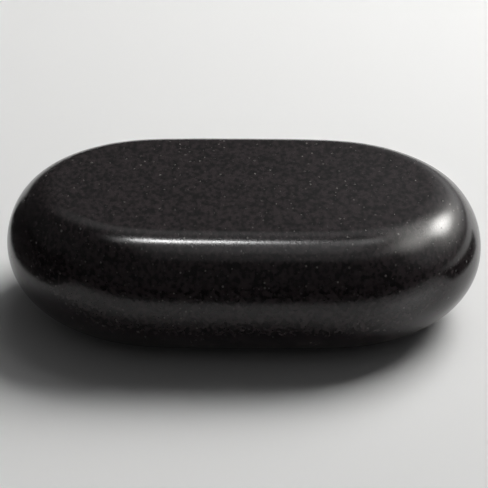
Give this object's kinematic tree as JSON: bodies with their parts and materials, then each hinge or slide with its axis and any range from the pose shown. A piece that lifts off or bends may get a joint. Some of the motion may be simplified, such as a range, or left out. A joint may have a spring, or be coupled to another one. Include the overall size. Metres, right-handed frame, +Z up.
{
  "type": "massage hot stone",
  "caption": "Smooth flat oval basalt pebble, warmed and laid on or drawn over the body in a hot stone massage; rests on its flat underside.",
  "frame": {"origin": "middle of the underside, on the surface that the stone rests on", "axes": "+X along the stone's length, +Y across it towards its back, +Z up through its thickness"},
  "size_m": [0.1, 0.0642, 0.0287],
  "materials": {
    "basalt": "low polish, dark grey with fine pale specks"
  },
  "bodies": {
    "root": {"stone": "basalt"}
  },
  "joints": []
}
